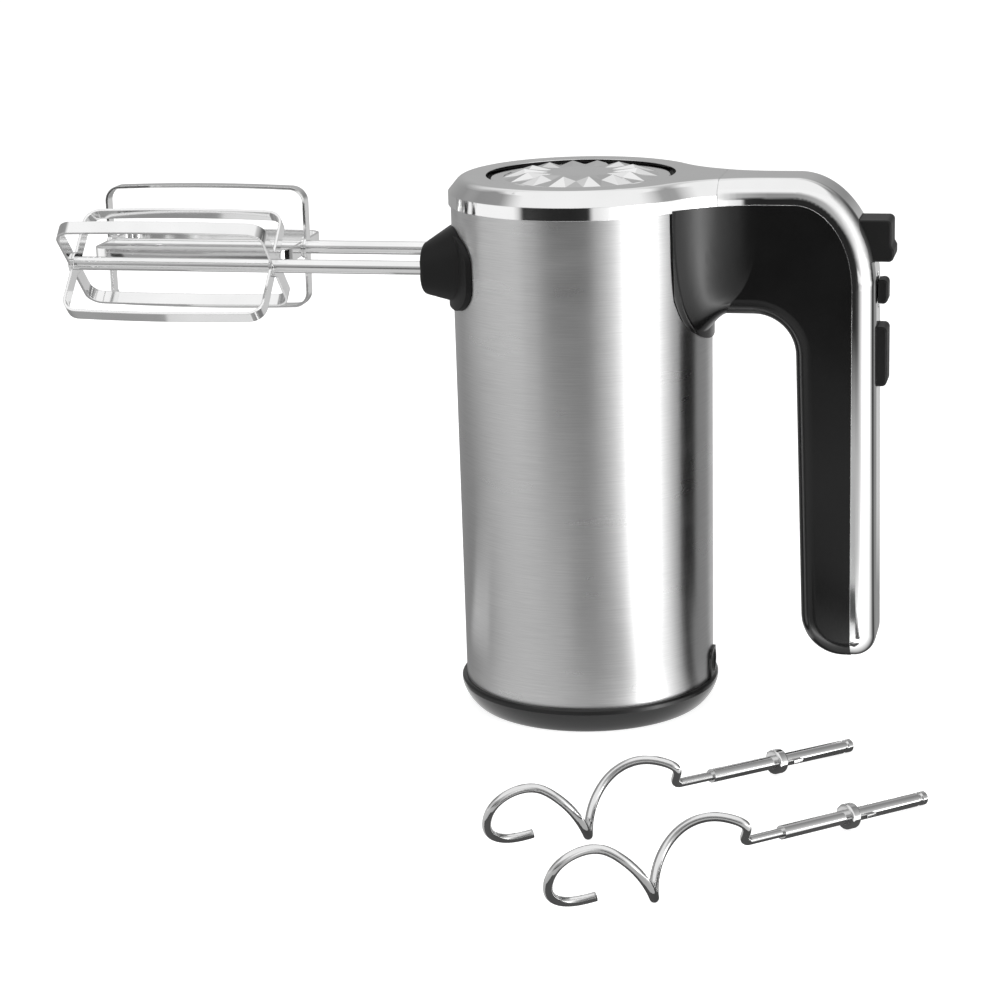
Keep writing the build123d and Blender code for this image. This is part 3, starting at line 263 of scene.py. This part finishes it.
looks = {
    "brushed_drum": brushed_steel("brushed_drum_steel"),
    "polished_cap": polished_metal("polished_cap_metal", *cap_shades, *cap_roughness),
    "polished_steel": polished_metal(
        "polished_beater_steel", grey(0.86), grey(0.93), 0.06, 0.10, beater_edge
    ),
    "gloss_black": moulded_plastic(
        "gloss_black_plastic", grey(0.006), grey(0.009), 0.16, 0.22, 0.000004, specular=0.42
    ),
    "satin_black": moulded_plastic(
        "satin_black_plastic", grey(0.006), grey(0.009), 0.42, 0.52, 0.00002, specular=0.25
    ),
    "bush_rubber": moulded_plastic("bush_rubber", grey(0.012), grey(0.02), 0.6, 0.7, 0.00003),
    "inner_plastic": moulded_plastic("inner_plastic", grey(0.46), grey(0.55), 0.4, 0.5, 0.00002),
    "circuit_board": moulded_plastic(
        "circuit_board", (0.02, 0.14, 0.05), (0.03, 0.2, 0.07), 0.25, 0.4, 0.00002
    ),
    "wheel_nylon": moulded_plastic("wheel_nylon", (0.74, 0.71, 0.6), (0.8, 0.78, 0.7), 0.4, 0.5, 0.00002),
    "carbon": moulded_plastic("carbon", grey(0.02), grey(0.035), 0.5, 0.65, 0.00003),
    "plain_steel": plain_metal("plain_steel", grey(0.5), grey(0.62), 0.25, 0.4),
    "iron_stack": plain_metal("iron_stack", grey(0.2), grey(0.3), 0.4, 0.55, (1, 1, 2200)),
    "copper_winding": plain_metal(
        "copper_winding", (0.52, 0.2, 0.09), (0.72, 0.34, 0.16), 0.3, 0.45, (1, 1, 1500)
    ),
    "bearing_bronze": plain_metal("bearing_bronze", (0.45, 0.3, 0.14), (0.6, 0.42, 0.22), 0.35, 0.5),
}

own_looks = {
    # The cap's metal, with painted shade in the groove round the disc
    "nose_cap": metal_with_painted_groove_shade("cap_metal_with_painted_groove_shade", *cap_shades, *cap_roughness, groove_radius, groove_top),
}
hook_steel = polished_metal("polished_hook_steel", grey(0.74), grey(0.82), 0.07, 0.11, hook_edge)
for name in nodes:
    if name.startswith("hook_"):
        own_looks[name] = hook_steel

slot_of = {row["node"]: row["material_slot"] for row in frame["record"]["subparts"]}
for name, node in nodes.items():
    node.data.materials.clear()
    node.data.materials.append(own_looks.get(name, looks[slot_of[name]]))


# The ejector's spring, wound between its guide and the rod's collar


def coil_spring(name, node, turns, wire, steps=24, sides=8):
    """A wire of a radius wound round X, as long and as wide as a sleeve."""
    low, high = (Vector(corner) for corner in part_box(node))
    middle = (low + high) / 2
    winding = (high.z - low.z) / 2 - wire
    pitch = (high.x - low.x - 2 * wire) / turns
    slope = math.atan(pitch / (2 * math.pi * winding))
    points = []
    faces = []
    for step in range(turns * steps + 1):
        angle = 2 * math.pi * step / steps
        outward = Vector((0, math.cos(angle), math.sin(angle)))
        tangent = Vector((0, -math.sin(angle), math.cos(angle))) * math.cos(slope)
        tangent.x = math.sin(slope)
        aside = tangent.cross(outward)
        centre = Vector((low.x + wire + pitch * step / steps, middle.y, middle.z)) + outward * winding
        for side in range(sides):
            around = 2 * math.pi * side / sides
            points.append(centre + (outward * math.cos(around) + aside * math.sin(around)) * wire)
    for step in range(turns * steps):
        for side in range(sides):
            first = step * sides + side
            after = step * sides + (side + 1) % sides
            faces.append((first, after, after + sides, first + sides))
    last = turns * steps * sides
    faces.append(tuple(range(sides))[::-1])
    faces.append(tuple(range(last, last + sides)))
    mesh = bpy.data.meshes.new(name)
    mesh.from_pydata(points, [], faces)
    mesh.shade_smooth()
    mesh.materials.append(looks[slot_of[node]])
    spring = bpy.data.objects.new(name, mesh)
    scene.collection.objects.link(spring)
    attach(spring, "housing")
    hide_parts(node)
    return spring, low


coil_turns = 7
coil_wire = 0.0005
eject_coil, coil_foot = coil_spring("eject_spring_coil", "eject_spring", coil_turns, coil_wire)
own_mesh(eject_coil)


# Stage


def sheet(name, corners):
    """One flat four-cornered card."""
    mesh = bpy.data.meshes.new(name)
    mesh.from_pydata([Vector(corner) for corner in corners], [], [(0, 1, 2, 3)])
    card = bpy.data.objects.new(name, mesh)
    scene.collection.objects.link(card)
    return card


def seen_directly(links, tree_nodes):
    """One for rays from the camera, a mirror or glass, and zero for scattered light."""
    path = tree_nodes.new("ShaderNodeLightPath")
    first = tree_nodes.new("ShaderNodeMath")
    first.operation = "MAXIMUM"
    links.new(path.outputs["Is Camera Ray"], first.inputs[0])
    links.new(path.outputs["Is Glossy Ray"], first.inputs[1])
    second = tree_nodes.new("ShaderNodeMath")
    second.operation = "MAXIMUM"
    links.new(first.outputs[0], second.inputs[0])
    links.new(path.outputs["Is Transmission Ray"], second.inputs[1])
    return second.outputs[0]


floor_half = 6
floor_glow = 0.8
world_fill = 0.45

floor = sheet(
    "floor",
    [
        (-floor_half, -floor_half, 0),
        (floor_half, -floor_half, 0),
        (floor_half, floor_half, 0),
        (-floor_half, floor_half, 0),
    ],
)
floor_tree = Tree("floor_paper")
floor_grain = floor_tree.noise(floor_tree.place((1, 1, 1)), 3.0)
floor_tree.tint(floor_grain, grey(0.55), grey(0.57))
floor_tree.set(Roughness=0.9, Specular_IOR_Level=0.0)
glow = floor_tree.add("Emission", Color=(1, 1, 1, 1), Strength=floor_glow)
lit = floor_tree.add("AddShader")
floor_tree.link(floor_tree.shader.outputs[0], lit.inputs[0])
floor_tree.link(glow.outputs[0], lit.inputs[1])
chosen = floor_tree.add("MixShader")
floor_tree.link(seen_directly(floor_tree.links, floor_tree.nodes), chosen.inputs[0])
floor_tree.link(floor_tree.shader.outputs[0], chosen.inputs[1])
floor_tree.link(lit.outputs[0], chosen.inputs[2])
floor_tree.show(chosen.outputs[0])
floor.data.materials.append(floor_tree.material)

world = bpy.data.worlds.new("studio")
scene.world = world
world.use_nodes = True
world_nodes = world.node_tree.nodes
world_links = world.node_tree.links
white = world_nodes["Background"]
white.inputs["Color"].default_value = (1, 1, 1, 1)
white.inputs["Strength"].default_value = 1.0
soft = world_nodes.new("ShaderNodeBackground")
soft.inputs["Color"].default_value = (1, 1, 1, 1)
soft.inputs["Strength"].default_value = world_fill
world_mix = world_nodes.new("ShaderNodeMixShader")
world_links.new(seen_directly(world_links, world_nodes), world_mix.inputs[0])
world_links.new(soft.outputs[0], world_mix.inputs[1])
world_links.new(white.outputs[0], world_mix.inputs[2])
world_links.new(world_mix.outputs[0], world_nodes["World Output"].inputs["Surface"])

# Turn of the camera from -Y in degrees, and the bowl's sizes. A turn is read wider near the drum by the spread
camera_turn = 13.107
studio_radius = 1.6
bowl_inner = 0.06
bowl_height = 2.6
bowl_lift = 0.00005
turn_spread = 0.021


# A bowl round the set that only mirrors see. Its levels of light are given by the turn from the camera in
# degrees: on the floor near the drum, further off, on a ring of it and on three heights of the wall
near_tones = (
    (-180, 0.30), (-127, 0.26), (-109, 0.36), (-95, 0.51), (-82, 0.61), (-59, 0.64), (-30, 0.63), (-14, 0.53),
    (0, 0.48), (8, 0.52), (17, 0.62), (26, 0.9), (34, 1.5), (42, 3.0), (50, 5.0), (58, 3.0), (68, 1.5),
    (78, 0.95), (86, 0.55), (92, 0.2), (96, 0.05), (101, 0.05), (110, 0.28), (142, 0.30), (152, 0.6),
    (168, 0.6), (180, 0.30),
)
far_tones = (
    (-180, 0.36), (-140, 0.36), (-109, 0.66), (-95, 0.74), (-75, 0.74), (-58, 0.70), (-46, 0.60), (-38, 0.25),
    (-29, 0.03), (-4, 0.02), (4, 0.08), (10, 0.3), (17, 0.6), (26, 1.0), (34, 1.6), (42, 3.5), (50, 6.0),
    (58, 3.5), (68, 1.6), (78, 0.95), (85, 0.5), (91, 0.15), (95, 0.03), (102, 0.03), (112, 0.3), (142, 0.32),
    (152, 0.6), (168, 0.6), (180, 0.36),
)
ring_tones = (
    (-180, 0.36), (-132, 0.36), (-122, 0.8), (-110, 1.05), (-62, 1.05), (-57, 0.7), (-53, 0.03), (-12, 0.02),
    (4, 0.03), (8, 0.9), (20, 1.1), (30, 1.5), (42, 3.5), (50, 6.0), (58, 3.5), (70, 1.5), (84, 1.0),
    (90, 0.3), (95, 0.03), (104, 0.03), (114, 0.25), (142, 0.3), (152, 0.6), (168, 0.6), (180, 0.36),
)
low_tones = (
    (-180, 0.44), (-170, 0.40), (-140, 0.30), (-110, 0.28), (-85, 0.5), (-65, 0.8), (-45, 0.5), (-20, 0.3),
    (10, 0.5), (40, 1.2), (60, 1.2), (85, 0.5), (105, 0.2), (125, 0.06), (150, 0.2), (168, 0.42), (180, 0.44),
)
high_tones = (
    (-180, 1.0), (-150, 0.7), (-125, 0.30), (-100, 0.32), (-80, 0.6), (-60, 1.0), (60, 1.05), (80, 0.65),
    (100, 0.4), (125, 0.25), (150, 0.6), (180, 1.0),
)
top_tones = ((-180, 1.0), (180, 1.0))
shade_steps = (
    ("floor", (0.42, 0.70), far_tones),
    ("floor", (1.00, 1.10), ring_tones),
    ("floor", (1.42, 1.52), far_tones),
    ("wall", (0.10, 0.35), low_tones),
    ("wall", (0.85, 1.40), high_tones),
    ("wall", (1.90, 2.60), top_tones),
)


def turn_tones(tree, turn, tones):
    """Shade of the bowl by the turn from the camera."""
    ramp = tree.add("ValToRGB")
    stops = ramp.color_ramp.elements
    while len(stops) < len(tones):
        stops.new(0.5)
    for stop, (degrees, level) in zip(stops, tones):
        stop.position = (degrees + 180) / 360
        stop.color = (level, level, level, 1)
    tree.link(turn, ramp.inputs[0])
    return ramp.outputs[0]


def bowl(name, inner, radius, height, steps=72):
    """Ring on the floor with an upright wall, turned so that its -Y side faces the camera."""
    points = []
    faces = []
    for step in range(steps):
        turn = 2 * math.pi * step / steps
        for reach, rise in ((inner, bowl_lift), (radius, bowl_lift), (radius, height)):
            points.append((reach * math.sin(turn), -reach * math.cos(turn), rise))
    for step in range(steps):
        first = 3 * step
        after = 3 * ((step + 1) % steps)
        faces.append((first, first + 1, after + 1, after))
        faces.append((first + 1, first + 2, after + 2, after + 1))
    mesh = bpy.data.meshes.new(name)
    mesh.from_pydata(points, [], faces)
    card = bpy.data.objects.new(name, mesh)
    scene.collection.objects.link(card)
    card.rotation_euler = (0, 0, math.radians(camera_turn))
    card.visible_camera = False
    card.visible_diffuse = False
    card.visible_shadow = False
    tree = Tree(name)
    coordinates = tree.add("TexCoord")
    split = tree.add("SeparateXYZ")
    tree.link(coordinates.outputs["Object"], split.inputs[0])
    front = tree.add("Math", operation="MULTIPLY")
    front.inputs[1].default_value = -1
    tree.link(split.outputs["Y"], front.inputs[0])
    angle = tree.add("Math", operation="ARCTAN2")
    tree.link(split.outputs["X"], angle.inputs[0])
    tree.link(front.outputs[0], angle.inputs[1])
    length = tree.level_length(split)
    spread = tree.add("Math", operation="DIVIDE")
    spread.inputs[0].default_value = turn_spread
    tree.link(length, spread.inputs[1])
    wider = tree.add("Math", operation="MULTIPLY_ADD")
    tree.link(spread.outputs[0], wider.inputs[0])
    tree.link(angle.outputs[0], wider.inputs[1])
    tree.link(angle.outputs[0], wider.inputs[2])
    turn = tree.add("MapRange")
    turn.inputs["From Min"].default_value = -math.pi
    turn.inputs["From Max"].default_value = math.pi
    tree.link(wider.outputs[0], turn.inputs["Value"])
    measures = {"floor": length, "wall": split.outputs["Z"]}
    tone = turn_tones(tree, turn.outputs[0], near_tones)
    for place, limits, tones in shade_steps:
        share = tree.add("MapRange")
        share.inputs["From Min"].default_value = limits[0]
        share.inputs["From Max"].default_value = limits[1]
        tree.link(measures[place], share.inputs["Value"])
        tone = tree.blend(share.outputs[0], tone, turn_tones(tree, turn.outputs[0], tones))
    shade = tree.add("Emission", Strength=1.0)
    tree.link(tone, shade.inputs["Color"])
    tree.show(shade.outputs[0])
    card.data.materials.append(tree.material)


bowl("bowl", bowl_inner, studio_radius, bowl_height)

card_lift = 0.0001


def mirror_card(name, start, end, half, low, high):
    """A strip on the floor that only mirrors see, between two points of the floor."""
    along = (Vector(end) - Vector(start)).normalized()
    aside = Vector((-along.y, along.x)) * half
    corners = [Vector(start) - aside, Vector(end) - aside, Vector(end) + aside, Vector(start) + aside]
    card = sheet(name, [(corner.x, corner.y, card_lift) for corner in corners])
    card.visible_camera = False
    card.visible_diffuse = False
    card.visible_shadow = False
    tree = Tree(name)
    shade = tree.add("Emission", Strength=1.0)
    clouds = tree.noise(tree.place((1, 1, 1)), 20.0)
    tree.link(tree.tint(clouds, grey(low), grey(high)), shade.inputs["Color"])
    tree.show(shade.outputs[0])
    card.data.materials.append(tree.material)


hook_card = {"half": 0.013, "low": 0.06, "high": 0.11}
mirror_card("front_hook_card", (0.140, -0.085), (0.022, -0.229), **hook_card)
mirror_card("rear_hook_card", (0.110, -0.039), (-0.007, -0.182), **hook_card)
mirror_card("beater_card", (-0.11, 0.01), (-0.20, 0.01), 0.035, 0.72, 0.80)


def softbox(name, place, aim, width, height, power):
    """A rectangular lamp that gives light but isn't mirrored, since the bowl stands for it there."""
    lamp = bpy.data.lights.new(name, "AREA")
    lamp.shape = "RECTANGLE"
    lamp.size = width
    lamp.size_y = height
    lamp.energy = power
    holder = bpy.data.objects.new(name, lamp)
    scene.collection.objects.link(holder)
    holder.location = place
    holder.visible_glossy = False
    holder.rotation_euler = (Vector(aim) - Vector(place)).to_track_quat("-Z", "Y").to_euler()


middle = (0, 0, 0.1)
softbox("key_right", (1.1, -0.75, 0.7), middle, 0.7, 1.2, 9)
softbox("fill_left", (-1.2, -0.6, 0.8), middle, 0.9, 1.0, 6)
softbox("top", (0, 0.1, 1.5), middle, 1.2, 1.2, 9)


# Camera at the photograph's place

target = Vector((-0.033022, 0, 0.074165))
distance = 1.030525
camera_rise = 15.082
camera_roll = -1.583
turn, rise, roll = (math.radians(angle) for angle in (camera_turn, camera_rise, camera_roll))
back = Vector((math.sin(turn) * math.cos(rise), -math.cos(turn) * math.cos(rise), math.sin(rise)))
right = Vector((0, 0, 1)).cross(back).normalized()
up = back.cross(right)
camera_right = right * math.cos(roll) + up * math.sin(roll)
camera_up = up * math.cos(roll) - right * math.sin(roll)
lens = bpy.data.cameras.new("camera")
lens.sensor_width = 36
lens.lens = 99.59
lens.clip_start = 0.01
lens.clip_end = 50
camera = bpy.data.objects.new("camera", lens)
scene.collection.objects.link(camera)
camera.matrix_world = Matrix.Translation(target + back * distance) @ Matrix(
    (camera_right, camera_up, back)
).transposed().to_4x4()
scene.camera = camera

scene.view_settings.view_transform = "Standard"
